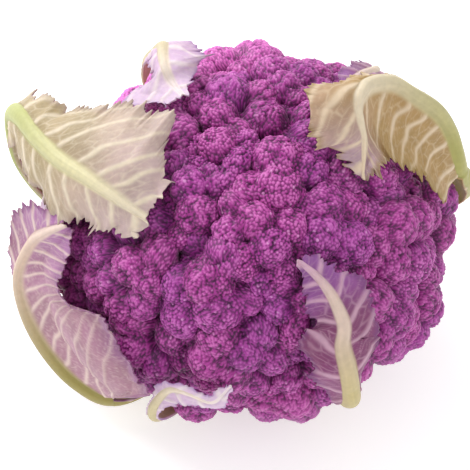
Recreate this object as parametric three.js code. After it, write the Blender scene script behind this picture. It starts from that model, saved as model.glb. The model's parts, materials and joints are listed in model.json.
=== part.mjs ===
// A head of purple cauliflower standing on its cut stem.
//
// Units are millimetres, +Z is up, and the origin is the middle of the cut face that the head stands on.
// The head is an assembly of the pieces it comes apart into by hand: the stem with its core, the florets that
// branch from the core, the leaves that wrap the curd, and the bases of the older leaves that were cut away.
//
// The curd is laid out on an envelope, a squashed ball that the tops of the florets reach. A place on it is given
// by a bearing (degrees round the head's axis, 0 = +X, 90 = +Y), a polar angle (degrees down from the crown)
// and a lift (millimetres outside the envelope). The leaves are laid out the same way, so they follow the curd.
import * as THREE from 'three';

const { degToRad, lerp, clamp, smoothstep } = THREE.MathUtils;

// ---------------------------------------------------------------- driving dimensions

// The envelope's four half-sizes, measured from its centre.
const CURD_HALF_WIDTH = 84;
const CURD_HALF_DEPTH = 80;
const CROWN_HEIGHT = 64;
const UNDERSIDE_DEPTH = 31;
// The head leans forward, towards -Y, as a head does that grew to the light.
const LEAN = degToRad(15);
const CURD_CENTRE_HEIGHT = 58;
const CURD_CENTRE_FORWARD = 8;

const FLORET_COUNT = 32;
const FLORET_LOWEST_POLAR = 106;
const FLORET_HEAD_RADIUS = 31;
// How far the floret tops stand outside the envelope, and how much that differs from one to the next.
const FLORET_RISE = 3.5;
const FLORET_UNEVENNESS = 3;
const FLORET_STALK_RADIUS = 4.6;

const STEM_RADIUS = 20;
const STEM_CUT_BEVEL = 1.2;
const CORE_RADIUS = 24;

const RIB_WIDTH = 13;
const RIB_THICKNESS = 8;
const BLADE_THICKNESS = 1.2;

// The curd is hollowed low on its front right, where a leaf stalk comes out from under it.
const HOLLOW = { bearing: -58, polar: 100, depth: 11, spread: 20 };

// Clearances between pieces that touch in the real head.
const FLORET_GAP = 0.4;
const JOIN_GAP = 0.4;
const LEAF_TO_CURD = 3;

// ---------------------------------------------------------------- materials

const skin = (color, roughness) => new THREE.MeshStandardMaterial({ color, roughness, metalness: 0 });
const MATERIALS = {
  floret: skin(0xa83aa2, 0.6),
  stem: skin(0xe6e2bd, 0.55),
  creamLeaf: skin(0xdccdb0, 0.6),
  lilacLeaf: skin(0xd3b6d6, 0.6),
  violetLeaf: skin(0x9c6fb4, 0.6),
  leafBase: skin(0xcdd189, 0.5),
};

// ---------------------------------------------------------------- the curd's envelope

const CURD_CENTRE = new THREE.Vector3(0, -CURD_CENTRE_FORWARD, CURD_CENTRE_HEIGHT);
const lean = new THREE.Matrix4().makeRotationX(LEAN);
const upright = lean.clone().invert();

const direction = (bearing, polar) =>
  new THREE.Vector3().setFromSphericalCoords(1, degToRad(polar), 0)
    .applyAxisAngle(new THREE.Vector3(1, 0, 0), Math.PI / 2)
    .applyAxisAngle(new THREE.Vector3(0, 0, 1), degToRad(bearing + 90));

// Distance from the centre to the envelope along a direction in the head's own upright frame.
const hollowDirection = direction(HOLLOW.bearing, HOLLOW.polar);
function reach(d) {
  const height = d.z > 0 ? CROWN_HEIGHT : UNDERSIDE_DEPTH;
  const fromHollow = d.angleTo(hollowDirection) / degToRad(HOLLOW.spread);
  const ball = 1 / Math.hypot(d.x / CURD_HALF_WIDTH, d.y / CURD_HALF_DEPTH, d.z / height);
  return ball - HOLLOW.depth * Math.exp(-fromHollow * fromHollow);
}

function onCurd(bearing, polar, lift) {
  const d = direction(bearing, polar);
  return d.multiplyScalar(reach(d) + lift).applyMatrix4(lean).add(CURD_CENTRE);
}

// How far a point lies outside the envelope.
function liftOf(point) {
  const d = point.clone().sub(CURD_CENTRE).applyMatrix4(upright);
  const distance = d.length();
  return distance - reach(d.divideScalar(distance));
}

// ---------------------------------------------------------------- shared helpers

// A repeatable number from 0 to 1 for each index, so that copies differ as grown things do.
const vary = (index, salt = 0) => {
  const s = Math.sin(index * 12.9898 + salt * 78.233) * 43758.5453;
  return s - Math.floor(s);
};

// Moves each vertex of a three.js geometry to where place(x, y, z) puts it.
function shaped(geometry, place) {
  const position = geometry.getAttribute('position');
  for (let i = 0; i < position.count; i++) {
    const p = place(position.getX(i), position.getY(i), position.getZ(i));
    position.setXYZ(i, p.x, p.y, p.z);
  }
  geometry.computeVertexNormals();
  return geometry;
}

function named(name, geometry, material) {
  const mesh = new THREE.Mesh(geometry, material);
  mesh.name = name;
  return mesh;
}

// The stem's axis bends forward from the cut face to the middle of the curd.
const axisForward = (height) => CURD_CENTRE_FORWARD * Math.min(height / CURD_CENTRE_HEIGHT, 1) ** 2;
const fromStemAxis = (point) => Math.hypot(point.x, point.y + axisForward(point.z));

// ---------------------------------------------------------------- florets

const GOLDEN_ANGLE = 137.508;
const HEAD_SEGMENTS = 12;
const HEAD_RINGS = 10;
// Shares of the ball's pole-to-pole angle at which the domed head ends and the stalk's cut end begins.
const HEAD_SHARE = 0.6;
const STALK_SHARE = 0.9;

// The florets sit on a spiral from the crown outwards, each turned a golden angle from the last.
function floretSeats() {
  const spread = 1 - Math.cos(degToRad(FLORET_LOWEST_POLAR));
  return Array.from({ length: FLORET_COUNT }, (_, i) => {
    const polar = THREE.MathUtils.radToDeg(Math.acos(1 - ((i + 0.5) / FLORET_COUNT) * spread));
    const top = onCurd(i * GOLDEN_ANGLE, polar, FLORET_RISE - FLORET_UNEVENNESS * vary(i));
    const out = top.clone().sub(CURD_CENTRE).normalize();
    return { out, centre: top.clone().addScaledVector(out, -FLORET_HEAD_RADIUS) };
  });
}

// Pulls a point back towards its floret's centre until it is clear of every neighbour.
function pressed(offset, seat, seats) {
  let share = 1;
  for (const other of seats) {
    if (other === seat) continue;
    const across = other.centre.clone().sub(seat.centre);
    const halfway = across.length() / 2 - FLORET_GAP / 2;
    const depth = offset.dot(across.normalize());
    if (depth > halfway) share = Math.min(share, halfway / depth);
  }
  return offset.multiplyScalar(share);
}

// Whether a floret's surface may not pass through a place: outside the curd, or inside the stem or its core.
function blocked(point) {
  if (liftOf(point) > FLORET_RISE) return true;
  const inCore = point.distanceTo(CURD_CENTRE) < CORE_RADIUS + JOIN_GAP * 0.9;
  return inCore || (point.z < CURD_CENTRE_HEIGHT && fromStemAxis(point) < STEM_RADIUS + 3 * JOIN_GAP);
}

// The place on the line from a floret's centre towards a point that is the farthest allowed.
function held(offset, seat) {
  const at = (share) => seat.centre.clone().addScaledVector(offset, share);
  if (!blocked(at(1))) return at(1);
  let free = 0;
  let shut = 1;
  for (let step = 0; step < 9; step++) {
    const middle = (free + shut) / 2;
    if (blocked(at(middle))) shut = middle;
    else free = middle;
  }
  return at(free);
}

// A domed head on a stalk that narrows to the core.
function floretGeometry(seat, seats) {
  const side = new THREE.Vector3(0, 0, 1).cross(seat.out).normalize();
  const other = seat.out.clone().cross(side);
  const headEnd = Math.PI * HEAD_SHARE;
  const stalkLength = seat.centre.distanceTo(CURD_CENTRE) - CORE_RADIUS - JOIN_GAP;
  const ball = new THREE.SphereGeometry(1, HEAD_SEGMENTS, HEAD_RINGS);
  return shaped(ball, (x, y, z) => {
    const angle = Math.acos(clamp(y, -1, 1));
    const turn = Math.atan2(z, x);
    const down = clamp((angle / Math.PI - HEAD_SHARE) / (STALK_SHARE - HEAD_SHARE), 0, 1);
    const headAngle = Math.min(angle, headEnd);
    const neck = lerp(FLORET_HEAD_RADIUS * Math.sin(headAngle), FLORET_STALK_RADIUS, Math.sqrt(down));
    const closing = angle > Math.PI * 0.99 ? 0 : 1;
    const radius = (down > 0 ? neck : FLORET_HEAD_RADIUS * Math.sin(headAngle)) * closing;
    const height = lerp(FLORET_HEAD_RADIUS * Math.cos(headAngle), -stalkLength, down);
    const offset = seat.out.clone().multiplyScalar(height)
      .addScaledVector(side, -radius * Math.cos(turn))
      .addScaledVector(other, radius * Math.sin(turn));
    return held(pressed(offset, seat, seats), seat);
  });
}

function florets() {
  const seats = floretSeats();
  return seats.map((seat, i) =>
    named(`floret_${String(i + 1).padStart(2, '0')}`, floretGeometry(seat, seats), MATERIALS.floret));
}

// ---------------------------------------------------------------- stem

// The cut stump, its neck, and the core inside the curd that the floret stalks meet.
function stem() {
  const neckTop = CURD_CENTRE_HEIGHT - CORE_RADIUS * 0.75;
  const profile = [
    new THREE.Vector2(0, 0),
    new THREE.Vector2(STEM_RADIUS - STEM_CUT_BEVEL, 0),
    new THREE.Vector2(STEM_RADIUS, STEM_CUT_BEVEL),
    new THREE.Vector2(STEM_RADIUS, neckTop * 0.5),
    new THREE.Vector2(STEM_RADIUS * 0.9, neckTop),
  ];
  const coreSteps = 7;
  const coreStart = Math.PI / 2 - Math.asin(0.75) + 0.12;
  for (let i = 0; i <= coreSteps; i++) {
    const a = lerp(coreStart, Math.PI, i / coreSteps);
    const radius = i === coreSteps ? 0 : CORE_RADIUS * Math.sin(a);
    profile.push(new THREE.Vector2(radius, CURD_CENTRE_HEIGHT - CORE_RADIUS * Math.cos(a)));
  }
  const round = new THREE.LatheGeometry(profile, 28).rotateX(Math.PI / 2);
  const bent = shaped(round, (x, y, z) => new THREE.Vector3(x, y - axisForward(z), z));
  return named('stem', bent, MATERIALS.stem);
}

// ---------------------------------------------------------------- leaves

const LEAF_ACROSS = 8;
const LEAF_ALONG = 26;
const RIB_SHARE = 0.25;

// foot: bearing and height of the leaf's base on the stem.
// path: where the midrib runs over the curd, as [bearing, polar, lift], from under the rim to the tip.
// blade: share of the leaf's length at which its blade begins.
// left, right: how far the blade spreads on each side of the midrib, evenly spaced from there to the tip,
// looking from foot to tip with the outside up.
// bendLeft, bendRight: degrees that each side turns towards the curd by its margin; negative turns away.
// leftMargin, rightMargin: in place of left or right, where that margin lies, given as the path is.
// stalk: size of the leaf stalk against RIB_WIDTH and RIB_THICKNESS.
const LEAVES = [
  {
    name: 'leaf_back_left', material: MATERIALS.creamLeaf,
    foot: { bearing: 166, height: 18 }, stalk: 1.1, blade: 0.38,
    path: [
      [166, 128, 5], [166, 100, 9], [162, 85, 20], [157, 76, 30], [159, 68, 30], [165, 61, 25],
      [172, 54, 20], [179, 47, 16], [188, 41, 12], [200, 36, 7],
    ],
    left: [5, 6, 13, 24, 33, 34, 14], bendLeft: 40, right: [5, 9, 16, 18.5, 18.5, 14, 5], bendRight: 45,
  },
  {
    name: 'leaf_back', material: MATERIALS.lilacLeaf,
    foot: { bearing: 124, height: 20 }, stalk: 0.8, blade: 0.5,
    path: [
      [122, 125, 5], [121, 100, 5], [121, 80, 6], [121, 64, 10], [121, 54, 15], [124, 49, 14],
      [126, 46, 12], [127, 44, 8], [128, 38, 6],
    ],
    left: [4, 12, 17, 12, 3], bendLeft: 30, right: [6, 5, 6, 20, 8], bendRight: 45,
  },
  {
    name: 'leaf_right', material: MATERIALS.creamLeaf,
    foot: { bearing: 6, height: 16 }, stalk: 1, blade: 0.26,
    path: [
      [14, 125, 5], [16, 104, 6], [13, 86, 6], [12, 73, 8], [15, 65, 13], [19, 59, 18], [23, 52, 23],
      [29, 45, 25], [35, 42, 25], [38, 36, 24], [36, 33, 22], [32, 32, 19], [26, 32, 16], [19, 33, 12],
      [12, 33, 9], [5, 33, 7],
    ],
    leftMargin: [
      [1, 66, 5], [2, 62, 5], [5, 58, 6], [7, 53, 8], [8, 47, 9], [9, 43, 9], [11, 40, 9], [12, 38, 10],
      [10, 37, 10], [7, 35, 8], [3, 33, 6],
    ],
    right: [1, 1, 1, 1, 1.5, 3, 11, 20, 20, 14, 8, 3], bendRight: 55,
  },
  {
    name: 'leaf_left', material: MATERIALS.lilacLeaf,
    foot: { bearing: -134, height: 13 }, stalk: 1.25, blade: 0.3,
    path: [
      [-132, 130, 4], [-129, 115, 15], [-134, 108, 26], [-143, 107, 31], [-153, 104, 30], [-162, 98, 23],
      [-169, 89, 16], [-173, 77, 11], [-172, 68, 11], [-171, 61, 10],
    ],
    left: [0.5, 0.5, 0.6, 5, 12, 11, 3], bendLeft: -40,
    rightMargin: [
      [-122, 74, 16], [-118, 70, 14], [-122, 70, 11], [-131, 69, 6], [-141, 62, 9], [-151, 70, 8],
      [-160, 73, 7], [-161, 67, 6], [-164, 63, 8], [-169, 60, 9],
    ],
  },
  {
    name: 'leaf_front_right', material: MATERIALS.violetLeaf,
    foot: { bearing: -60, height: 11 }, stalk: 0.9, blade: 0.36,
    path: [
      [-60, 124, 3], [-60, 104, 4], [-62, 86, 6], [-63, 71, 8], [-63, 62, 10], [-62, 56, 9], [-59, 52, 8],
      [-58, 48, 7], [-58, 42, 6], [-60, 36, 5], [-64, 31, 5],
    ],
    left: [9, 12, 14, 14, 10, 5, 2], bendLeft: 40, right: [5, 16, 16, 13, 12, 7, 2], bendRight: 40,
  },
  {
    name: 'leaf_front_left', material: MATERIALS.lilacLeaf,
    foot: { bearing: -100, height: 10 }, stalk: 0.5, blade: 0.45,
    path: [
      [-108, 124, 3], [-114, 106, 4], [-118, 90, 4], [-117, 78, 5], [-114, 71, 6], [-108, 70, 7],
      [-102, 70, 8], [-98, 65, 7],
    ],
    left: [1, 1.5, 3, 3, 1], bendLeft: 20, right: [3, 6, 7, 5, 1], bendRight: 20,
  },
  {
    name: 'leaf_left_inner', material: MATERIALS.lilacLeaf,
    foot: { bearing: -166, height: 9 }, stalk: 0.45, blade: 0.4,
    path: [[-172, 122, 4], [-176, 100, 4], [-177, 84, 4], [-179, 74, 4], [-181, 67, 4], [-182, 62, 4]],
    left: [4, 8, 10, 9, 3], bendLeft: 30, right: [4, 9, 11, 9, 3], bendRight: 30,
  },
  {
    name: 'leaf_back_right', material: MATERIALS.violetLeaf,
    foot: { bearing: 64, height: 20 }, stalk: 0.7, blade: 0.5,
    path: [[61, 124, 4], [58, 102, 5], [54, 84, 5], [51, 68, 5], [51, 55, 5], [50, 43, 5]],
    left: [3, 5, 6, 5, 2], bendLeft: 20, right: [3, 5, 6, 5, 2], bendRight: 20,
  },
];

// The bases of older leaves, cut off short of the rim.
const CUT_LEAF_BASES = [
  { bearing: 148, height: 8, length: 30 },
  { bearing: 93, height: 8, length: 28 },
  { bearing: 38, height: 7, length: 25 },
  { bearing: -26, height: 7, length: 24 },
];

const footOf = ({ bearing, height }) => {
  const a = degToRad(bearing);
  const radius = STEM_RADIUS + JOIN_GAP;
  return new THREE.Vector3(radius * Math.cos(a), radius * Math.sin(a), height);
};

// The stalk narrows into the midrib from the leaf's foot (0) to its tip (1).
const taper = (along) => lerp(1, 0.15, Math.pow(along, 0.8));

// How far one side of the blade spreads, from its list of half-widths.
function spreadOf(widths, along, from) {
  if (along < from) return widths[0] * smoothstep(along, from - 0.2, from);
  const place = Math.min(((along - from) / (1 - from)) * (widths.length - 1), widths.length - 1.001);
  const step = Math.floor(place);
  return lerp(widths[step], widths[step + 1], smoothstep(place - step, 0, 1));
}

// Moves a point of a leaf out of the curd.
function draped(point, thickness) {
  const short = FLORET_RISE + LEAF_TO_CURD + thickness / 2 - liftOf(point);
  return short > 0 ? point.addScaledVector(point.clone().sub(CURD_CENTRE).normalize(), short) : point;
}

// Moves a point of a leaf's foot out of the stem.
function clearOfStem(point) {
  const axis = new THREE.Vector3(0, -axisForward(point.z), point.z);
  const share = (STEM_RADIUS + JOIN_GAP) / fromStemAxis(point);
  return share > 1 ? point.sub(axis).multiplyScalar(share).add(axis) : point;
}

const curveOver = (start, path) =>
  new THREE.CatmullRomCurve3([...start, ...path.map((place) => onCurd(...place))], false, 'centripetal');

// A blade on a midrib: a box whose length runs along the midrib, bent to the leaf's shape.
function leafGeometry(spec) {
  const midrib = curveOver([footOf(spec.foot)], spec.path);
  const margins = [spec.leftMargin, spec.rightMargin].map((path) => path && curveOver([], path));
  const box = new THREE.BoxGeometry(2, 2, 1, LEAF_ACROSS, 1, LEAF_ALONG);
  return shaped(box, (x, y, z) => {
    const along = z + 0.5;
    const point = midrib.getPoint(along);
    const forward = midrib.getTangent(along);
    const outward = point.clone().sub(CURD_CENTRE);
    outward.addScaledVector(forward, -outward.dot(forward)).normalize();
    const sideways = outward.clone().cross(forward).multiplyScalar(Math.sign(x));

    const onRib = Math.min(Math.abs(x) / RIB_SHARE, 1);
    const onBlade = clamp((Math.abs(x) - RIB_SHARE) / (1 - RIB_SHARE), 0, 1);
    const rib = (taper(along) * spec.stalk * RIB_WIDTH) / 2;
    const ribThickness = taper(along) * spec.stalk * RIB_THICKNESS * lerp(1, 0.5, onRib * onRib);
    const thickness = onBlade > 0 ? BLADE_THICKNESS : Math.max(BLADE_THICKNESS, ribThickness);

    const face = outward.clone();
    const margin = margins[x > 0 ? 0 : 1];
    if (margin && x && along > spec.blade) {
      const edge = margin.getPoint((along - spec.blade) / (1 - spec.blade)).sub(point);
      const across = edge.clone().normalize();
      point.addScaledVector(across, onRib * rib).addScaledVector(edge.addScaledVector(across, -rib), onBlade);
      face.addScaledVector(across, -face.dot(across)).normalize();
    } else {
      const spread = spreadOf((x > 0 ? spec.left : spec.right) ?? [rib, rib], along, spec.blade);
      const width = onRib * rib + onBlade * Math.max(spread - rib, 0.6);
      const bend = degToRad((x > 0 ? spec.bendLeft : spec.bendRight) ?? 0) * onBlade;
      point.addScaledVector(sideways, width * Math.cos(bend / 2));
      point.addScaledVector(outward, -width * Math.sin(bend / 2));
      face.multiplyScalar(Math.cos(bend)).addScaledVector(sideways, Math.sin(bend));
    }
    if (along > 0.03) draped(point, thickness);
    return clearOfStem(point.addScaledVector(face, (y * thickness) / 2));
  });
}

const leaf = (spec) => named(spec.name, leafGeometry(spec), spec.material);

// A cut leaf base: the thick foot of a leaf stalk, running out and a little up to a flat cut.
function cutLeafBase(spec, index) {
  const foot = footOf(spec);
  const out = new THREE.Vector3(foot.x, foot.y, 0).normalize();
  const across = new THREE.Vector3(0, 0, 1).cross(out);
  const up = new THREE.Vector3(0, 0, 1);
  const block = new THREE.BoxGeometry(2, 2, 1, 6, 4, 4);
  const shape = shaped(block, (x, y, z) => {
    const along = z + 0.5;
    const round = Math.max(Math.abs(x), Math.abs(y), 1e-6) / Math.max(Math.hypot(x, y), 1e-6);
    const width = (RIB_WIDTH / 2) * lerp(1.1, 0.85, along);
    const thickness = (RIB_THICKNESS / 2) * lerp(1.05, 0.9, along);
    return foot.clone()
      .addScaledVector(out, along * spec.length)
      .addScaledVector(across, x * round * width)
      .addScaledVector(up, y * round * thickness + 4 * along * along);
  });
  return named(`cut_leaf_base_${index + 1}`, shape, MATERIALS.leafBase);
}

// ---------------------------------------------------------------- the head

const cauliflower = new THREE.Group();
cauliflower.name = 'cauliflower';
cauliflower.add(stem(), ...florets(), ...LEAVES.map(leaf), ...CUT_LEAF_BASES.map(cutLeafBase));

export default cauliflower;
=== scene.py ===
"""A head of purple cauliflower on a white table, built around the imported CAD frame.

Lengths in this file are millimetres until a mesh is made, and metres in Blender. Places on the curd are
given as in the CAD source: a bearing round the head's axis, a polar angle down from the crown, and a lift
off the envelope.
"""

import json
import math
from types import SimpleNamespace

import bpy
import numpy as np
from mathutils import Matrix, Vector

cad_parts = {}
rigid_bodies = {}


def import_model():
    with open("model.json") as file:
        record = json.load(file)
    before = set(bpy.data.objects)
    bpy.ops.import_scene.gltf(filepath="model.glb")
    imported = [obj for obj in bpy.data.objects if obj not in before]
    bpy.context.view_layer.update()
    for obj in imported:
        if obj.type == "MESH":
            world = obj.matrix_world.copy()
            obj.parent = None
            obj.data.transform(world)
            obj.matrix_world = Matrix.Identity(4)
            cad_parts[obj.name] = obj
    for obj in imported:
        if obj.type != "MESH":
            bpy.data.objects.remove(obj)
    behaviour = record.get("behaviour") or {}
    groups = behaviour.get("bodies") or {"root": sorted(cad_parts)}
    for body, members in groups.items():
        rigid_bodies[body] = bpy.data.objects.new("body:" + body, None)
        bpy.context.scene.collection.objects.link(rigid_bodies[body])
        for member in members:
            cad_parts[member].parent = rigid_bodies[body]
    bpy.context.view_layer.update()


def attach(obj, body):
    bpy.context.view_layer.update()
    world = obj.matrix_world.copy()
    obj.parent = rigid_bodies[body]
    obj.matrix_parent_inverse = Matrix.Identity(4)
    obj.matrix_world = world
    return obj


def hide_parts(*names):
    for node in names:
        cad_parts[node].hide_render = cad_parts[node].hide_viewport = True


MM = 0.001

# ------------------------------------------------------------------ the curd's envelope, as in the CAD source

CENTRE = np.array([0.0, -8.0, 58.0])
LEAN = math.radians(15)
HALF_WIDTH, HALF_DEPTH, CROWN_HEIGHT, UNDERSIDE_DEPTH = 84.0, 80.0, 64.0, 31.0
HOLLOW_DEPTH, HOLLOW_SPREAD = 11.0, math.radians(20)
STEM_RADIUS, CORE_RADIUS, JOIN_GAP = 20.0, 24.0, 0.4
FLORET_RISE = 3.5


def unit(v):
    return v / np.maximum(np.linalg.norm(v, axis=-1, keepdims=True), 1e-9)


def direction(bearing, polar):
    b, p = np.radians(bearing), np.radians(polar)
    return np.stack([np.sin(p) * np.cos(b), np.sin(p) * np.sin(b), np.cos(p)], -1)


def leaned(v, angle):
    c, s = math.cos(angle), math.sin(angle)
    return np.stack([v[..., 0], v[..., 1] * c - v[..., 2] * s, v[..., 1] * s + v[..., 2] * c], -1)


HOLLOW = direction(-58.0, 100.0)


def reach(d):
    """Distance from the centre to the envelope along directions in the head's own upright frame."""
    height = np.where(d[..., 2] > 0, CROWN_HEIGHT, UNDERSIDE_DEPTH)
    across, deep, up = d[..., 0] / HALF_WIDTH, d[..., 1] / HALF_DEPTH, d[..., 2] / height
    ball = 1 / np.sqrt(across**2 + deep**2 + up**2)
    turn = np.arccos(np.clip(d @ HOLLOW, -1, 1)) / HOLLOW_SPREAD
    return ball - HOLLOW_DEPTH * np.exp(-(turn**2))


def on_curd(place):
    bearing, polar, lift = place
    d = direction(bearing, polar)
    return CENTRE + leaned(d * (reach(d) + lift), LEAN)


def lift_of(points):
    d = leaned(points - CENTRE, -LEAN)
    distance = np.linalg.norm(d, axis=-1)
    return distance - reach(unit(d))


def axis_forward(height):
    return 8.0 * np.minimum(height / CENTRE[2], 1) ** 2


# ------------------------------------------------------------------ helpers


def ramp(x, low, high):
    t = np.clip((x - low) / (high - low), 0, 1)
    return t * t * (3 - 2 * t)


def mix(a, b, share):
    share = np.asarray(share)[..., None]
    return a * (1 - share) + b * share


def rgb(text):
    """A colour written as six hexadecimal digits, as linear numbers."""
    c = np.array([int(text[i : i + 2], 16) / 255 for i in (0, 2, 4)])
    return np.where(c <= 0.04045, c / 12.92, ((c + 0.055) / 1.055) ** 2.4)


def noise(x, y=0.0, seed=0):
    """Smooth value noise from -1 to 1 over two coordinates."""
    table = np.random.default_rng(seed).uniform(-1, 1, (64, 64))
    x, y = np.broadcast_arrays(np.asarray(x, float), np.asarray(y, float))
    ix, iy = np.floor(x).astype(int), np.floor(y).astype(int)
    fx, fy = ramp(x - ix, 0, 1), ramp(y - iy, 0, 1)
    at = lambda i, j: table[i % 64, j % 64]
    low = at(ix, iy) * (1 - fx) + at(ix + 1, iy) * fx
    high = at(ix, iy + 1) * (1 - fx) + at(ix + 1, iy + 1) * fx
    return low * (1 - fy) + high * fy


def scattered(points, spacing, generator):
    """Indices of points no closer than spacing, taken in a random order."""
    free = np.ones(len(points), bool)
    chosen = []
    for i in generator.permutation(len(points)):
        if free[i]:
            chosen.append(i)
            free &= ((points - points[i]) ** 2).sum(1) > spacing**2
    return np.array(chosen, int)


def caps(points, seeds, radii):
    """Height of a union of balls set into a surface, and which ball is on top."""
    height, top = np.zeros(len(points)), np.zeros(len(points), int)
    for start in range(0, len(points), 4000):
        part = points[start : start + 4000]
        squared = (part**2).sum(1)[:, None] + (seeds**2).sum(1) - 2 * part @ seeds.T
        room = radii**2 - squared
        best = room.argmax(1)
        top[start : start + 4000] = best
        height[start : start + 4000] = np.sqrt(np.maximum(room[np.arange(len(part)), best], 0))
    return height, top


def mesh_object(name, points, faces, material, colours=None):
    mesh = bpy.data.meshes.new(name)
    mesh.from_pydata(points * MM, [], faces)
    mesh.shade_smooth()
    if colours is not None:
        layer = mesh.color_attributes.new("tint", "FLOAT_COLOR", "POINT")
        rgba = np.concatenate([np.clip(colours, 0, 1), np.ones((len(points), 1))], 1)
        layer.data.foreach_set("color", rgba.astype(np.float32).ravel())
    mesh.materials.append(material)
    obj = bpy.data.objects.new(name, mesh)
    bpy.context.scene.collection.objects.link(obj)
    return obj


def stands_for(obj, node):
    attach(obj, "root")
    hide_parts(node)


# ------------------------------------------------------------------ materials


def tinted_material(name, roughness, subsurface, scatter_radii, grain, bump, sheen):
    """Skin whose colour comes from the mesh's own tint, with a fine grain."""
    material = bpy.data.materials.new(name)
    material.use_nodes = True
    nodes, links = material.node_tree.nodes, material.node_tree.links
    skin = nodes["Principled BSDF"]
    tint = nodes.new("ShaderNodeVertexColor")
    tint.layer_name = "tint"
    texture = nodes.new("ShaderNodeTexNoise")
    texture.inputs["Scale"].default_value = grain
    texture.inputs["Detail"].default_value = 3
    coordinates = nodes.new("ShaderNodeTexCoord")
    links.new(coordinates.outputs["Object"], texture.inputs["Vector"])
    shade = nodes.new("ShaderNodeHueSaturation")
    spread = nodes.new("ShaderNodeMapRange")
    spread.inputs["To Min"].default_value = 0.86
    spread.inputs["To Max"].default_value = 1.14
    links.new(texture.outputs["Fac"], spread.inputs["Value"])
    links.new(spread.outputs["Result"], shade.inputs["Value"])
    links.new(tint.outputs["Color"], shade.inputs["Color"])
    links.new(shade.outputs["Color"], skin.inputs["Base Color"])
    relief = nodes.new("ShaderNodeBump")
    relief.inputs["Strength"].default_value = bump
    relief.inputs["Distance"].default_value = 0.0003
    links.new(texture.outputs["Fac"], relief.inputs["Height"])
    links.new(relief.outputs["Normal"], skin.inputs["Normal"])
    skin.inputs["Roughness"].default_value = roughness
    skin.inputs["Subsurface Weight"].default_value = subsurface
    skin.inputs["Subsurface Radius"].default_value = scatter_radii
    skin.inputs["Subsurface Scale"].default_value = 0.002
    skin.inputs["Specular IOR Level"].default_value = 0.4
    skin.inputs["Sheen Weight"].default_value = sheen
    skin.inputs["Sheen Tint"].default_value = (1.0, 0.85, 0.97, 1)
    return material


# ------------------------------------------------------------------ florets

FLORET_COUNT = 32
FLORET_SPREAD = math.radians(106)
GOLDEN_ANGLE = 137.508
HEAD_RADIUS = 31.0
STALK_RADIUS = 4.6
HEAD_END = math.radians(108)
FLORET_CROWDING = 2.5  # how far a floret's lumps may press past the wall shared with its neighbour
WALL_SHARPNESS = 14.0
SEEN_DEPTH = 9.0  # how deep between two florets the skin can still be seen
SEEN_SHARE = 0.74  # share of a floret's mesh spent on what can be seen
BALL_STEPS, QUICK_BALL_STEPS = 58, 22

# Spacing, ball radius and strength of each coat of balls on a floret.
LUMPS, KNOBS, BEADS = (13.5, 11.8, 0.95), (4.4, 3.4, 0.4), (1.12, 0.84, 1.1)
# Share of beads whose tops get a painted glint, a whitish highlight.
PAINTED_GLINT_SHARE = 0.06

# The darkest purple is painted shade for the creases; the lightest is painted light for bead tops and the
# back of the curd.
PURPLE_PAINTED_SHADE, PURPLE, PURPLE_PAINTED_LIGHT = rgb("4d0a46"), rgb("a62a8e"), rgb("e684ce")
PURPLE_PINK, PURPLE_BLUE, BEAD_PAINTED_GLINT = rgb("bb4398"), rgb("8f3aa6"), rgb("ecc9e8")
STALK_CREAM = rgb("cdb2c4")


def floret_seats():
    """Each floret's way out from the core and the centre of its domed head, on a spiral from the crown."""
    spread = 1 - math.cos(FLORET_SPREAD)
    seats = []
    for i in range(FLORET_COUNT):
        polar = math.degrees(math.acos(1 - (i + 0.5) / FLORET_COUNT * spread))
        wave = math.sin(i * 12.9898) * 43758.5453
        top = on_curd((i * GOLDEN_ANGLE, polar, FLORET_RISE - 3.0 * (wave - math.floor(wave))))
        out = unit(top - CENTRE)
        seats.append((out, top - out * HEAD_RADIUS))
    return seats


def cube_ball(n):
    """A ball of quads, made from a cube's faces: unit directions and faces."""
    steps = np.arange(n + 1)
    i, j = [g.ravel() for g in np.meshgrid(steps, steps, indexing="ij")]
    zero, full = np.zeros_like(i), np.full_like(i, n)
    sides = [(i, j, full), (j, i, zero), (full, i, j), (zero, j, i), (j, full, i), (i, zero, j)]
    lattice = np.concatenate([np.stack(s, 1) for s in sides])
    unique, index = np.unique(lattice, axis=0, return_inverse=True)
    index = index.reshape(6, n + 1, n + 1)
    quads = np.stack([index[:, :-1, :-1], index[:, 1:, :-1], index[:, 1:, 1:], index[:, :-1, 1:]], -1)
    return unit(np.tan((unique / n * 2 - 1) * math.pi / 4)), quads.reshape(-1, 4)


def stalk_table(length):
    """Distance from the head's centre against angle from its axis, for the neck and stalk."""
    down = np.linspace(0, 1, 60)
    radius = HEAD_RADIUS * math.sin(HEAD_END) * (1 - np.sqrt(down)) + STALK_RADIUS * np.sqrt(down)
    height = HEAD_RADIUS * math.cos(HEAD_END) * (1 - down) - length * down
    return np.arctan2(radius, height), np.hypot(radius, height)


def shut(points):
    """Whether places are outside the curd, or inside the stem or its core."""
    neck = np.hypot(points[:, 0], points[:, 1] + axis_forward(points[:, 2])) < STEM_RADIUS + 3 * JOIN_GAP
    core = np.linalg.norm(points - CENTRE, axis=1) < CORE_RADIUS + 0.9 * JOIN_GAP
    return (lift_of(points) > FLORET_RISE) | core | (neck & (points[:, 2] < CENTRE[2]))


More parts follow.
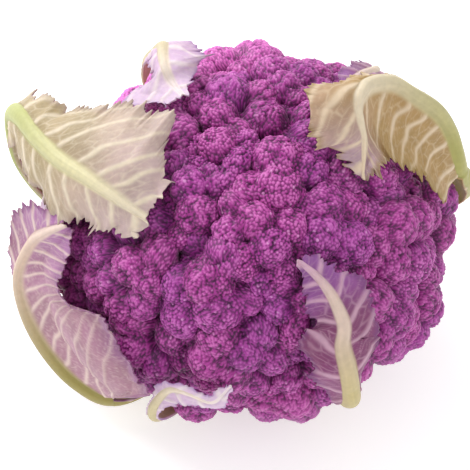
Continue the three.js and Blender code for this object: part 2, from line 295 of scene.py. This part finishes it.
def floret_base(rays, seat, seats):
    """The floret's smooth outline: a dome and stalk, pressed by its neighbours and held within the curd."""
    out, centre = seat
    length = np.linalg.norm(centre - CENTRE) - CORE_RADIUS - JOIN_GAP
    angle = np.arccos(np.clip(rays @ out, -1, 1))
    stalk_angle, stalk_reach = stalk_table(length)
    away = np.interp(angle, stalk_angle, stalk_reach, left=HEAD_RADIUS)
    past = angle > stalk_angle[-1]
    away[past] = length / np.maximum(-np.cos(angle[past]), 0.5)
    pull = away**-WALL_SHARPNESS
    for other in seats:
        if other is seat:
            continue
        across = other[1] - centre
        halfway = np.linalg.norm(across) / 2 + FLORET_CROWDING
        depth = rays @ unit(across)
        wall = halfway / np.maximum(depth, 0.05)
        pull += np.where(depth > 0.05, wall**-WALL_SHARPNESS, 0)
    away = pull ** (-1 / WALL_SHARPNESS)
    low, high = np.zeros(len(rays)), np.ones(len(rays))
    stopped = shut(centre + rays * away[:, None])
    for _ in range(9):
        middle = (low + high) / 2
        blocked = shut(centre + rays * (away * middle)[:, None])
        high = np.where(blocked, middle, high)
        low = np.where(blocked, low, middle)
    return np.where(stopped, away * low, away)


def turned(local, out):
    """Directions about a floret's own axis, in the frame of the head."""
    side = unit(np.cross([0, 0, 1.0], out))
    return local @ np.stack([side, np.cross(out, side), out])


def around_axis(down, turn):
    return np.stack([np.sin(down) * np.cos(turn), np.sin(down) * np.sin(turn), np.cos(down)], -1)


def seen_angles(seat, seats, turn):
    """How far down from its top a floret can be seen, at each turn about its axis."""
    down = np.radians(np.arange(12.0, 130.0, 2.0))
    turns = np.linspace(-math.pi, math.pi, 73)
    rays = turned(around_axis(*np.meshgrid(down, turns)).reshape(-1, 3), seat[0])
    points = seat[1] + rays * floret_base(rays, seat, seats)[:, None]
    hidden = (lift_of(points) < -SEEN_DEPTH).reshape(len(turns), len(down))
    hidden[:, -1] = True
    return np.interp(turn, turns, down[hidden.argmax(1)])


def floret_rays(seat, seats, ball):
    """Directions from a floret's centre, most of them spread evenly over the part that can be seen."""
    turn = np.arctan2(ball[:, 1], ball[:, 0])
    share = (1 - ball[:, 2]) / 2
    edge = seen_angles(seat, seats, turn)
    above = np.arccos(1 - np.minimum(share / SEEN_SHARE, 1) * (1 - np.cos(edge)))
    below = edge + (math.pi - edge) * np.clip((share - SEEN_SHARE) / (1 - SEEN_SHARE), 0, 1) ** 1.2
    return turned(around_axis(np.where(share < SEEN_SHARE, above, below), turn), seat[0])


def bumps(points, rays, coat, exposed, generator):
    """Sets a coat of balls into the surface: the new points, how far up its ball each is, and which ball."""
    spacing, size, strength = coat
    outer = np.flatnonzero(exposed > 0.1)
    seeds = points[outer[scattered(points[outer], spacing, generator)]]
    radii = size * generator.uniform(0.88, 1.1, len(seeds))
    height, ball = caps(points, seeds, radii)
    share = ramp(height / size, 0.35, 1.0)
    lift = (height - 0.82 * size) * strength
    return points + rays * (np.maximum(lift, -0.6 * size) * exposed)[:, None], share, ball


def floret(number, seat, seats, ball, faces, material):
    rays = floret_rays(seat, seats, ball)
    generator = np.random.default_rng(100 + number)
    fineness = generator.uniform(0.85, 1.15)

    points = seat[1] + rays * floret_base(rays, seat, seats)[:, None]
    exposed = ramp(lift_of(points), -20, -8)
    scaled = lambda coat: (coat[0] * fineness, coat[1] * fineness, coat[2])
    points, lump, lump_ball = bumps(points, rays, scaled(LUMPS), exposed, generator)
    points, knob, _ = bumps(points, rays, scaled(KNOBS), exposed, generator)
    points, bead, bead_ball = bumps(points, rays, BEADS, exposed, generator)
    bump_height = 0.22 * lump + 0.28 * knob + 0.5 * bead
    colour = floret_colours(points, bump_height, lump_ball, bead, bead_ball, exposed, generator)
    return mesh_object(f"curd_{number:02d}", points, faces.tolist(), material, colour)


def floret_colours(points, bump_height, lump_ball, bead, bead_ball, exposed, generator):
    """Painted shade in the creases, painted highlights and glints on the beads, each lump with a hue of its
    own, and painted light making it paler at the back and on the left.
    """
    # Painted shade darkens the creases between balls and painted highlights lighten the bead tops, by height
    # on the balls.
    colour = mix(PURPLE_PAINTED_SHADE, PURPLE, ramp(bump_height, 0.25, 0.75))
    colour = mix(colour, PURPLE_PAINTED_LIGHT, 0.6 * ramp(bump_height, 0.7, 1.0))
    hue = generator.uniform(-1, 1, lump_ball.max() + 1)[lump_ball] * 0.6 + generator.uniform(-0.3, 0.3)
    colour = mix(colour, PURPLE_PINK, 0.4 * np.clip(hue, 0, 1) * bump_height)
    colour = mix(colour, PURPLE_BLUE, 0.4 * np.clip(-hue, 0, 1) * bump_height)
    # Painted glints: a few bead tops lightened towards pale pink, standing in for specular highlights.
    painted_glint = (generator.uniform(0, 1, bead_ball.max() + 1)[bead_ball] > 1 - PAINTED_GLINT_SHARE) * ramp(bead, 0.9, 1.0)
    colour = mix(colour, BEAD_PAINTED_GLINT, 0.35 * painted_glint * exposed)
    # Painted light: paler and brighter towards the back and the left, where the key light falls from behind.
    painted_back_light = ramp(0.6 * points[:, 1] - 0.5 * points[:, 0], 5, 55)
    colour = mix(colour, PURPLE_PAINTED_LIGHT, 0.55 * painted_back_light * ramp(bump_height, 0.2, 0.9)) * (0.97 + 0.45 * painted_back_light)[:, None]
    return mix(STALK_CREAM, colour, ramp(lift_of(points), -30, -14))


# ------------------------------------------------------------------ leaves

RIB_WIDTH, RIB_THICKNESS = 13.0, 8.0
RIB_SHARE = 0.22  # share of a leaf's columns of mesh that lie on its rib
LEAF_CLEARANCE = FLORET_RISE + 2.6
MIN_HALF_WIDTH, MIN_SKIN = 0.6, 0.45
SIDE_VEIN_SPACING = 10.5
FOLIAGE_SHADE, FLESH_SHADE = 0.82, 0.75

CREAM_LEAF = {
    "blade": "baa67e", "tip": "d0b5b4", "vein": "efe0c6", "margin": "bfa9a0",
    "stalk": "bcc274", "rib": "e8dfb2",
}
HOOKED_LEAF = {
    "blade": "b8965f", "tip": "c7a6b6", "vein": "ecd6b8", "margin": "a2874c",
    "stalk": "b2ae62", "rib": "ecdcc0",
}
LILAC_LEAF = {
    "blade": "aa7389", "tip": "b67ab0", "vein": "f0d8cc", "margin": "8a4a86",
    "stalk": "a99c55", "rib": "e4c8b4",
}
PALE_LEAF = {
    "blade": "d6b4d4", "tip": "dec2de", "vein": "f4e4e6", "margin": "a678b8",
    "stalk": "cdbf8a", "rib": "f3e3d3",
}
VIOLET_LEAF = {
    "blade": "84396a", "tip": "9653a0", "vein": "d4a8be", "margin": "753478",
    "stalk": "c8b878", "rib": "e6cdbe",
}

# foot: bearing and height on the stem. path, left_margin, right_margin: bearing, polar angle and lift off the
# curd. blade: where along the leaf the blade starts. left, right: half-widths from there to the tip. green:
# where the stalk's green has half faded.
LEAVES = [
    dict(
        name="leaf_back_left", slot="leaf_cream", look=CREAM_LEAF,
        foot=(166, 18), stalk=1.1, blade=0.38,
        path=[(166, 128, 5), (166, 100, 9), (162, 85, 20), (157, 76, 30), (159, 68, 30), (165, 61, 25),
              (172, 54, 20), (179, 47, 16), (188, 41, 12), (200, 36, 7)],
        left=[5, 6, 13, 24, 33, 34, 14], bend_left=40, right=[5, 9, 16, 18.5, 18.5, 14, 5], bend_right=45,
        ruffle=1.6, grid=(110, 400), green=0.62,
    ),
    dict(
        name="leaf_back", slot="leaf_lilac", look=PALE_LEAF,
        foot=(124, 20), stalk=0.8, blade=0.5,
        path=[(122, 125, 5), (121, 100, 5), (121, 80, 6), (121, 64, 10), (121, 54, 15), (124, 49, 14),
              (126, 46, 12), (127, 44, 8), (128, 38, 6)],
        left=[4, 12, 17, 12, 3], bend_left=30, right=[6, 5, 6, 20, 8], bend_right=45,
        ruffle=1.0, grid=(60, 240),
    ),
    dict(
        name="leaf_right", slot="leaf_cream", look=HOOKED_LEAF,
        foot=(6, 16), stalk=1.0, blade=0.26,
        path=[(14, 125, 5), (16, 104, 6), (13, 86, 6), (12, 73, 8), (15, 65, 13), (19, 59, 18), (23, 52, 23),
              (29, 45, 25), (35, 42, 25), (38, 36, 24), (36, 33, 22), (32, 32, 19), (26, 32, 16),
              (19, 33, 12), (12, 33, 9), (5, 33, 7)],
        left=None, bend_left=0, right=[1, 1, 1, 1, 1.5, 3, 11, 20, 20, 14, 8, 3], bend_right=55,
        left_margin=[(1, 66, 5), (2, 62, 5), (5, 58, 6), (7, 53, 8), (8, 47, 9), (9, 43, 9), (11, 40, 9),
                     (12, 38, 10), (10, 37, 10), (7, 35, 8), (3, 33, 6)],
        ruffle=1.6, grid=(96, 420), green=0.5,
    ),
    dict(
        name="leaf_left", slot="leaf_lilac", look=LILAC_LEAF,
        foot=(-134, 13), stalk=1.25, blade=0.3,
        path=[(-132, 130, 4), (-129, 115, 15), (-134, 108, 26), (-143, 107, 31), (-153, 104, 30),
              (-162, 98, 23), (-169, 89, 16), (-173, 77, 11), (-172, 68, 11), (-171, 61, 10)],
        left=[0.5, 0.5, 0.6, 5, 12, 11, 3], bend_left=-40, right=None, bend_right=0, ruffle=1.0,
        right_margin=[(-122, 74, 16), (-118, 70, 14), (-122, 70, 11), (-131, 69, 6), (-141, 62, 9),
                      (-151, 70, 8), (-160, 73, 7), (-161, 67, 6), (-164, 63, 8), (-169, 60, 9)],
        grid=(150, 300), green=0.6,
    ),
    dict(
        name="leaf_front_right", slot="leaf_violet", look=VIOLET_LEAF,
        foot=(-60, 11), stalk=0.9, blade=0.36,
        path=[(-60, 124, 3), (-60, 104, 4), (-62, 86, 6), (-63, 71, 8), (-63, 62, 10), (-62, 56, 9),
              (-59, 52, 8), (-58, 48, 7), (-58, 42, 6), (-60, 36, 5), (-64, 31, 5)],
        left=[9, 12, 14, 14, 10, 5, 2], bend_left=40, right=[5, 16, 16, 13, 12, 7, 2], bend_right=40,
        ruffle=1.0, grid=(64, 300),
    ),
    dict(
        name="leaf_front_left", slot="leaf_lilac", look=PALE_LEAF,
        foot=(-100, 10), stalk=0.5, blade=0.45,
        path=[(-108, 124, 3), (-114, 106, 4), (-118, 90, 4), (-117, 78, 5), (-114, 71, 6), (-108, 70, 7),
              (-102, 70, 8), (-98, 65, 7)],
        left=[1, 1.5, 3, 3, 1], bend_left=20, right=[3, 6, 7, 5, 1], bend_right=20,
        ruffle=0.6, grid=(40, 180),
    ),
    dict(
        name="leaf_left_inner", slot="leaf_lilac", look=PALE_LEAF,
        foot=(-166, 9), stalk=0.45, blade=0.4,
        path=[(-172, 122, 4), (-176, 100, 4), (-177, 84, 4), (-179, 74, 4), (-181, 67, 4), (-182, 62, 4)],
        left=[4, 8, 10, 9, 3], bend_left=30, right=[4, 9, 11, 9, 3], bend_right=30,
        ruffle=0.8, grid=(40, 180),
    ),
    dict(
        name="leaf_back_right", slot="leaf_violet", look=VIOLET_LEAF,
        foot=(64, 20), stalk=0.7, blade=0.5,
        path=[(61, 124, 4), (58, 102, 5), (54, 84, 5), (51, 68, 5), (51, 55, 5), (50, 43, 5)],
        left=[3, 5, 6, 5, 2], bend_left=20, right=[3, 5, 6, 5, 2], bend_right=20, ruffle=0.8, grid=(40, 180),
    ),
]


def spline(points, t):
    """A centripetal Catmull-Rom curve through points, at shares t of its length in control points."""
    points = np.asarray(points, float)
    last = len(points) - 1
    ends = np.vstack([2 * points[0] - points[1], points, 2 * points[-1] - points[-2]])
    place = np.clip(t, 0, 1) * last
    step = np.minimum(place.astype(int), last - 1)
    w = (place - step)[:, None]
    a, b, c, d = (ends[step + k] for k in range(4))
    gap = lambda p, q: np.maximum(np.linalg.norm(q - p, axis=1, keepdims=True) ** 0.5, 1e-4)
    ab, bc, cd = gap(a, b), gap(b, c), gap(c, d)
    start = ((b - a) / ab - (c - a) / (ab + bc) + (c - b) / bc) * bc
    end = ((c - b) / bc - (d - b) / (bc + cd) + (d - c) / cd) * bc
    return b + start * w + (3 * (c - b) - 2 * start - end) * w**2 + (2 * (b - c) + start + end) * w**3


def spread_of(widths, along, blade):
    """Half-width of one side of a blade, from its list of half-widths."""
    place = np.clip((along - blade) / (1 - blade), 0, 1) * (len(widths) - 1)
    step = np.minimum(place.astype(int), len(widths) - 2)
    widths = np.asarray(widths, float)
    inside = widths[step] + (widths[step + 1] - widths[step]) * ramp(place - step, 0, 1)
    return np.where(along < blade, widths[0] * ramp(along, blade - 0.2, blade), inside)


def veins(length, across, side, blade_start, seed):
    """How strongly main side veins and the net between them show at places on a blade."""
    generator = np.random.default_rng(seed)
    distance = np.abs(across)
    slant = 0.62 * distance + 0.013 * distance**2 / (1 + distance / 25)
    main = np.zeros_like(length)
    starts = np.arange(blade_start - 12, length.max() + 4, SIDE_VEIN_SPACING)
    for sign in (-1, 1):
        for k, start in enumerate(starts + generator.uniform(-2.0, 2.0, len(starts))):
            wander = 1.6 * noise(distance / 7, k + 20 * sign, seed) * ramp(distance, 0, 8)
            line = start + slant + wander
            off = np.abs(length - line) * 0.8
            width = 0.85 - 0.15 * ramp(distance, 0, 35)
            strength = np.exp(-((off / width) ** 2)) * (side == sign)
            main = np.maximum(main, strength * (1 - 0.35 * ramp(distance, 15, 45)))
    places = np.stack([length - slant + 1.2 * noise(length / 5, across / 5, seed + 1), 0.45 * across], 1)
    net = np.zeros_like(length)
    for spacing, width, weight in ((3.4, 0.4, 0.55), (1.7, 0.25, 0.25)):
        seeds = places[scattered(places, spacing, generator)]
        edge = np.zeros(len(places))
        for start in range(0, len(places), 4000):
            part = places[start : start + 4000]
            squared = ((part[:, None, :] - seeds[None]) ** 2).sum(-1)
            near = np.sqrt(np.partition(squared, 1, axis=1)[:, :2])
            edge[start : start + 4000] = near[:, 1] - near[:, 0]
        net = np.maximum(net, weight * np.exp(-((edge / width) ** 2)))
    return main, net


def draped(points, clearance):
    short = np.maximum(clearance - lift_of(points), 0)
    return points + unit(points - CENTRE) * short[:, None]


def off_stem(points):
    axis = np.stack([np.zeros(len(points)), -axis_forward(points[:, 2]), points[:, 2]], 1)
    share = (STEM_RADIUS + JOIN_GAP) / np.maximum(np.linalg.norm((points - axis)[:, :2], axis=1), 1)
    return axis + (points - axis) * np.maximum(share, 1)[:, None]


def travel(line):
    """Distance travelled at each point of a line."""
    return np.concatenate([[0], np.cumsum(np.linalg.norm(np.diff(line, axis=0), axis=1))])


def midrib(spec, along):
    """The line along a leaf's middle, with the ways forward, out from the curd and sideways at each point."""
    bearing, height = spec["foot"]
    turn = math.radians(bearing)
    foot = np.array([math.cos(turn), math.sin(turn), 0]) * (STEM_RADIUS + JOIN_GAP) + [0, 0, height]
    controls = [foot] + [on_curd(p) for p in spec["path"]]
    middle = spline(controls, along)
    forward = unit(spline(controls, along + 1e-4) - spline(controls, along - 1e-4))
    outward = middle - CENTRE
    outward = unit(outward - (outward * forward).sum(1, keepdims=True) * forward)
    return middle, forward, outward, np.cross(outward, forward)


def margin_line(spec, side, along, middle, sideways):
    """One margin of a leaf: its own line where it has one, or else beside the midrib."""
    blade = spec["blade"]
    if side + "_margin" in spec:
        return spline([on_curd(p) for p in spec[side + "_margin"]], (along - blade) / (1 - blade))
    return middle + sideways * spread_of(spec[side], along, blade)[:, None]


def leaf_grid(spec):
    """Facts about every place of a leaf's mesh: rows run from foot to tip, columns from margin to margin."""
    columns, rows = spec["grid"]
    x = np.linspace(-1, 1, columns + 1)
    x = np.tile(np.sign(x) * np.abs(x) ** 0.9, rows + 1)
    along = np.linspace(0, 1, rows + 1)
    middle, forward, outward, sideways = midrib(spec, along)
    left_line = margin_line(spec, "left", along, middle, sideways)
    right_line = margin_line(spec, "right", along, middle, -sideways)
    grid = lambda v: np.repeat(v, columns + 1, axis=0)
    left = x > 0
    return SimpleNamespace(
        side=np.sign(x),
        left=left,
        along=grid(along),
        middle=grid(middle),
        forward=grid(forward),
        outward=grid(outward),
        sideways=grid(sideways) * np.sign(x)[:, None],
        length=grid(travel(middle)),
        margin=np.where(left, grid(travel(left_line)), grid(travel(right_line))),
        to_margin={"left": grid(left_line) - grid(middle), "right": grid(right_line) - grid(middle)},
        on_rib=np.minimum(np.abs(x) / RIB_SHARE, 1),
        on_blade=np.clip((np.abs(x) - RIB_SHARE) / (1 - RIB_SHARE), 0, 1),
        side_noise=np.where(left, 3.0, 17.0),
        taper=1 - 0.85 * grid(along) ** 0.8,
        blade_start=np.interp(spec["blade"], along, travel(middle)),
    )


def toothed(spec, g, seed):
    """How far the teeth of the margin stand out."""
    teeth = 1.6 * noise(g.margin / 6.5, g.side_noise, seed + 2)
    for wavelength, depth in ((2.6, 2.6), (1.3, 1.6)):
        teeth = teeth + depth * np.abs(noise(g.margin / wavelength, g.side_noise, seed)) ** 1.5
    on_margin = ramp(g.on_blade, 0.7, 1.0) * ramp(g.along, spec["blade"] - 0.05, spec["blade"] + 0.1)
    return teeth * on_margin * spec["ruffle"]


def leaf_surface(spec, g, teeth):
    """A leaf's smooth middle surface: points, the way each faces, and its distance across from the midrib."""
    blade = spec["blade"]
    rib = g.taper * spec["stalk"] * RIB_WIDTH / 2
    widths = [spread_of(spec[side] or [MIN_HALF_WIDTH] * 2, g.along, blade) for side in ("left", "right")]
    spread = np.where(g.left, *widths)
    width = g.on_rib * rib + g.on_blade * np.maximum(spread - rib, MIN_HALF_WIDTH) + teeth
    bend = np.radians(np.where(g.left, spec["bend_left"], spec["bend_right"])) * g.on_blade
    sway, drop = (width * np.cos(bend / 2))[:, None], (width * np.sin(bend / 2))[:, None]
    point = g.middle + g.sideways * sway - g.outward * drop
    face = unit(g.outward * np.cos(bend)[:, None] + g.sideways * np.sin(bend)[:, None])
    across = width * g.side
    grown = ramp(g.along, blade - 0.01, blade + 0.07)
    for side, on_side in (("left", g.left), ("right", ~g.left)):
        if side + "_margin" not in spec:
            continue
        reachable = np.linalg.norm(g.to_margin[side], axis=1)
        away = g.to_margin[side] / reachable[:, None]
        beyond_rib = np.maximum(reachable - rib, MIN_HALF_WIDTH)
        run = g.on_rib * rib + g.on_blade * grown * beyond_rib + teeth * grown
        swap = on_side & (g.along > blade)
        facing = unit(g.outward - (g.outward * away).sum(1, keepdims=True) * away)
        bulge = 3.0 * np.sin(np.pi * g.on_blade) * ramp(g.along, blade, blade + 0.15)
        point = np.where(swap[:, None], g.middle + away * run[:, None] - facing * bulge[:, None], point)
        face = np.where(swap[:, None], facing, face)
        across = np.where(swap, run * g.side, across)
    return point, face, across


def waved(spec, g, vein, across, seed):
    """How far the blade swells between its veins and waves near its margin, and the fringe of its tip."""
    blade = spec["blade"]
    ruffle = spec["ruffle"] * (
        1.5 * noise(g.length / 9, g.side_noise, seed + 7) + 0.9 * noise(g.length / 4, g.side_noise, seed + 8)
    )
    wave = ruffle * g.on_blade**2 * ramp(g.along, blade, blade + 0.12)
    swell = 0.5 * (1 - vein) * ramp(g.on_blade, 0.05, 0.3) * ramp(g.along, blade, blade + 0.1)
    fringe = 3.0 * np.abs(noise(across / 1.7, 5, seed)) * ramp(g.along, 0.97, 1.0) * spec["ruffle"]
    return wave + swell, fringe


def sheet_faces(rows, across):
    """Faces of a closed sheet whose rows of points run over its top and back along its underside."""
    ring = 2 * across
    index = np.arange((rows + 1) * ring).reshape(rows + 1, ring)
    following = np.roll(index, -1, axis=1)
    quads = np.stack([index[:-1], following[:-1], following[1:], index[1:]], -1).reshape(-1, 4).tolist()
    for row, flip in ((0, True), (rows, False)):
        for k in range(across - 1):
            quad = [index[row, k], index[row, k + 1], index[row, ring - 2 - k], index[row, ring - 1 - k]]
            quads.append(quad[::-1] if flip else quad)
    return quads


def leaf(spec, seed, material):
    g = leaf_grid(spec)
    point, face, across = leaf_surface(spec, g, toothed(spec, g, seed))
    main, net = veins(g.length, across, g.side, g.blade_start, seed + 5)
    on_blade_only = ramp(g.on_blade, 0.0, 0.12)
    main, net = main * on_blade_only, net * on_blade_only
    vein = np.maximum(main, net)
    rise, fringe = waved(spec, g, vein, across, seed)
    point = point + face * rise[:, None] + g.forward * fringe[:, None]

    ribbed = np.sqrt(np.maximum(1 - g.on_rib**2 * 0.94, 0))
    rib_depth = g.taper * spec["stalk"] * RIB_THICKNESS * ribbed * (g.on_blade == 0)
    outer = np.maximum(MIN_SKIN, 0.62 * rib_depth) + 0.55 * main + 0.25 * net
    inner = np.maximum(MIN_SKIN, 0.38 * rib_depth) + 0.15 * main
    thin = 1 - 0.45 * ramp(g.on_blade, 0.6, 1.0)
    point = np.where((g.along > 0.03)[:, None], draped(point, LEAF_CLEARANCE + inner), point)
    top = off_stem(point + face * (outer * thin)[:, None])
    below = off_stem(point - face * (inner * thin)[:, None])

    columns, rows = spec["grid"]
    by_row = lambda v: v.reshape(rows + 1, columns + 1, 3)
    points = np.concatenate([by_row(top), by_row(below)[:, ::-1]], 1).reshape(-1, 3)
    colour = by_row(leaf_colours(spec, g, vein, main, across, seed))
    colour = np.concatenate([colour, colour[:, ::-1]], 1).reshape(-1, 3)
    faces = sheet_faces(rows, columns + 1)
    return mesh_object("foliage_" + spec["name"][5:], points, faces, material, colour)


def leaf_colours(spec, g, vein, main, across, seed):
    c = {key: rgb(value) for key, value in spec["look"].items()}
    blade, along, on_blade = spec["blade"], g.along, g.on_blade
    green = spec.get("green", blade + 0.12)
    mottle = 0.5 + 0.5 * noise(g.length / 11, across / 9, seed + 11)
    colour = mix(c["blade"], c["tip"], np.clip(ramp(along, 0.6, 1.0) + 0.25 * (mottle - 0.5), 0, 1))
    colour = colour * (0.86 + 0.28 * mottle)[:, None]
    colour = mix(colour, c["margin"], 0.75 * ramp(on_blade + 0.12 * (mottle - 0.5), 0.8, 1.0))
    vein_share = np.clip(0.9 * main + 0.75 * vein * (1 - main), 0, 1)
    colour = mix(colour, c["vein"], vein_share * (1 - 0.4 * on_blade**3))
    stalk = mix(c["stalk"], c["rib"], ramp(along, green - 0.2, green + 0.2))
    stalk = mix(stalk, c["vein"], ramp(along, 0.75, 1.0))
    streak = 1 + 0.06 * noise(across * 1.6, g.length / 30, seed + 12)
    rib_share = np.where(on_blade > 0, 1 - ramp(on_blade, 0, 0.1), 1)
    rib_share = np.maximum(rib_share, 1 - ramp(along, blade - 0.22, blade - 0.1))
    return FOLIAGE_SHADE * mix(colour, stalk * streak[:, None], rib_share)


# ------------------------------------------------------------------ stem and cut leaf bases


# Bearing and height on the stem, and length, of each outer leaf's cut stalk.
CUT_BASES = ((148, 8, 30), (93, 8, 28), (38, 7, 25), (-26, 7, 24))


def ringed(name, rings, material, colours):
    """A closed skin over rings of points, with a flat fan at each end."""
    count, around = rings.shape[:2]
    points = np.concatenate([rings.reshape(-1, 3), rings[:1].mean(1), rings[-1:].mean(1)])
    index = np.arange(count * around).reshape(count, around)
    following = np.roll(index, -1, axis=1)
    faces = np.stack([index[:-1], following[:-1], following[1:], index[1:]], -1).reshape(-1, 4).tolist()
    faces += [[count * around, b, a] for a, b in zip(index[0], following[0])]
    faces += [[count * around + 1, a, b] for a, b in zip(index[-1], following[-1])]
    tints = np.concatenate([colours.reshape(-1, 3), colours[:1].mean(1), colours[-1:].mean(1)])
    return mesh_object(name, points, faces, material, tints)


def stem(material):
    neck = CENTRE[2] - CORE_RADIUS * 0.75
    radii = [2, 6, 10, 13, 15.5, 17.3, 18.8, 19.6, 20, 20, 20, 20, 20, 19.7, 19.2, 18.6, 18]
    heights = [0, 0, 0, 0, 0, 0, 0, 0.5, 1.2, 4, 8, 12, neck * 0.5, 24, 29, 35, neck]
    start = math.pi / 2 - math.asin(0.75) + 0.12
    for a in np.linspace(start, math.pi - 0.05, 24):
        radii.append(CORE_RADIUS * math.sin(a))
        heights.append(CENTRE[2] - CORE_RADIUS * math.cos(a))
    radii, heights = np.array(radii), np.array(heights)
    turn = np.linspace(0, 2 * math.pi, 120, endpoint=False)
    rough = 0.35 * noise(turn * 9, heights[:, None] / 7, 3) * ramp(heights, 1, 6)[:, None]
    r = radii[:, None] - np.abs(rough)
    z = np.broadcast_to(heights[:, None], r.shape)
    rings = np.stack([r * np.cos(turn), r * np.sin(turn) - axis_forward(z), z], -1)
    cut = (heights <= 0)[:, None] * np.ones(120)
    bundle = np.exp(-(((r - 15.3) / 1.1) ** 2)) * (0.6 + 0.4 * np.sin(turn * 23))
    skin = mix(rgb("d9dca4"), rgb("efead2"), ramp(z, 4, 40) + 0.15 * noise(turn * 7, z / 5, 4))
    face = mix(rgb("f3efdc"), rgb("cfc79a"), bundle)
    return ringed("stalk_and_core", rings, material, FLESH_SHADE * mix(skin, face, cut))


def cut_base(number, bearing, height, length, material):
    turn = math.radians(bearing)
    out = np.array([math.cos(turn), math.sin(turn), 0.0])
    across, up = np.array([-out[1], out[0], 0.0]), np.array([0.0, 0.0, 1.0])
    foot = out * (STEM_RADIUS + JOIN_GAP) + up * height
    around = np.linspace(0, 2 * math.pi, 64, endpoint=False)
    along = np.concatenate([[0, 0, 0], np.linspace(0, 1, 30), [1, 1, 1]])
    inset = np.concatenate([[0.3, 0.7, 0.93], np.ones(30), [0.93, 0.6, 0.25]])
    ridge = 1 + 0.025 * np.sin(around * 9) * ramp(np.sin(around), -1, 0.2)
    a, s = along[:, None], inset[:, None] * ridge
    width = RIB_WIDTH / 2 * (1.1 - 0.25 * a) * s
    thickness = RIB_THICKNESS / 2 * (1.05 - 0.15 * a) * s
    rings = foot + out * (a * length)[..., None] + across * (np.cos(around) * width)[..., None]
    rings = rings + up * (np.sin(around) * thickness + 4 * a**2)[..., None]
    skin = mix(rgb("e6e3bd"), rgb("b9c36a"), ramp(a, 0, 0.6) * np.ones(64))
    face = mix(rgb("f1efd2"), rgb("c5cb86"), ramp(s, 0.75, 1.0) * np.ones(64))
    colours = FLESH_SHADE * mix(skin, face, (inset < 1)[:, None] * np.ones(64))
    return ringed(f"cut_leaf_stalk_{number}", rings, material, colours)


# ------------------------------------------------------------------ the scene


TABLE_SIZE, TABLE_WHITE, TABLE_GLOW, SKY_STRENGTH = 6, 0.9, 0.38, 0.75
AIM = Vector((0, 0, 0.05))

# Place in metres, size in metres and power in watts of each soft light.
LIGHTS = {"key": ((-0.6, 0.65, 0.85), 1.0, 12.5), "fill": ((0.6, -0.8, 0.9), 1.2, 3.0)}

CAMERA_TARGET = Vector((-0.008, -0.008, 0.058))
CAMERA_ELEVATION = math.radians(55)
CAMERA_DISTANCE, CAMERA_LENS, CAMERA_SENSOR = 0.62, 113, 36


def table_and_light():
    floor_material = bpy.data.materials.new("white_table")
    floor_material.use_nodes = True
    surface = floor_material.node_tree.nodes["Principled BSDF"]
    surface.inputs["Base Color"].default_value = (TABLE_WHITE, TABLE_WHITE, TABLE_WHITE, 1)
    surface.inputs["Roughness"].default_value = 0.9
    surface.inputs["Emission Color"].default_value = (1, 1, 1, 1)
    surface.inputs["Emission Strength"].default_value = TABLE_GLOW
    bpy.ops.mesh.primitive_plane_add(size=TABLE_SIZE, location=(0, 0, 0))
    floor = bpy.context.object
    floor.name = "table"
    floor.data.materials.append(floor_material)

    world = bpy.data.worlds.new("studio")
    bpy.context.scene.world = world
    world.use_nodes = True
    world.node_tree.nodes["Background"].inputs["Color"].default_value = (1, 1, 1, 1)
    world.node_tree.nodes["Background"].inputs["Strength"].default_value = SKY_STRENGTH

    for name, (place, size, power) in LIGHTS.items():
        light = bpy.data.lights.new(name, "AREA")
        light.energy, light.size = power, size
        lamp = bpy.data.objects.new(name, light)
        lamp.location = place
        lamp.rotation_euler = (AIM - Vector(place)).to_track_quat("-Z", "Y").to_euler()
        bpy.context.scene.collection.objects.link(lamp)


def camera():
    lens = bpy.data.cameras.new("camera")
    lens.lens, lens.sensor_width = CAMERA_LENS, CAMERA_SENSOR
    view = bpy.data.objects.new("camera", lens)
    back = Vector((0, -math.cos(CAMERA_ELEVATION), math.sin(CAMERA_ELEVATION)))
    view.location = CAMERA_TARGET + back * CAMERA_DISTANCE
    view.rotation_euler = (CAMERA_TARGET - view.location).to_track_quat("-Z", "Y").to_euler()
    bpy.context.scene.collection.objects.link(view)
    bpy.context.scene.camera = view


def main():
    for obj in list(bpy.data.objects):
        bpy.data.objects.remove(obj)
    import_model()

    curd = tinted_material("curd", 0.5, 0.1, (1.0, 0.35, 0.8), 900, 0.25, 0.2)
    foliage = tinted_material("foliage", 0.5, 0.12, (1.0, 0.8, 0.5), 450, 0.3, 0.1)
    flesh = tinted_material("flesh", 0.55, 0.12, (1.0, 0.9, 0.6), 500, 0.25, 0.0)

    ball, faces = cube_ball(BALL_STEPS)
    seats = floret_seats()
    for i, seat in enumerate(seats):
        stands_for(floret(i + 1, seat, seats, ball, faces, curd), f"floret_{i + 1:02d}")
    for i, spec in enumerate(LEAVES):
        stands_for(leaf(spec, 200 + 31 * i, foliage), spec["name"])
    stands_for(stem(flesh), "stem")
    for i, (bearing, height, length) in enumerate(CUT_BASES):
        stands_for(cut_base(i + 1, bearing, height, length, flesh), f"cut_leaf_base_{i + 1}")

    table_and_light()
    camera()
    scene = bpy.context.scene
    scene.view_settings.view_transform = "Standard"
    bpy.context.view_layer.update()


main()
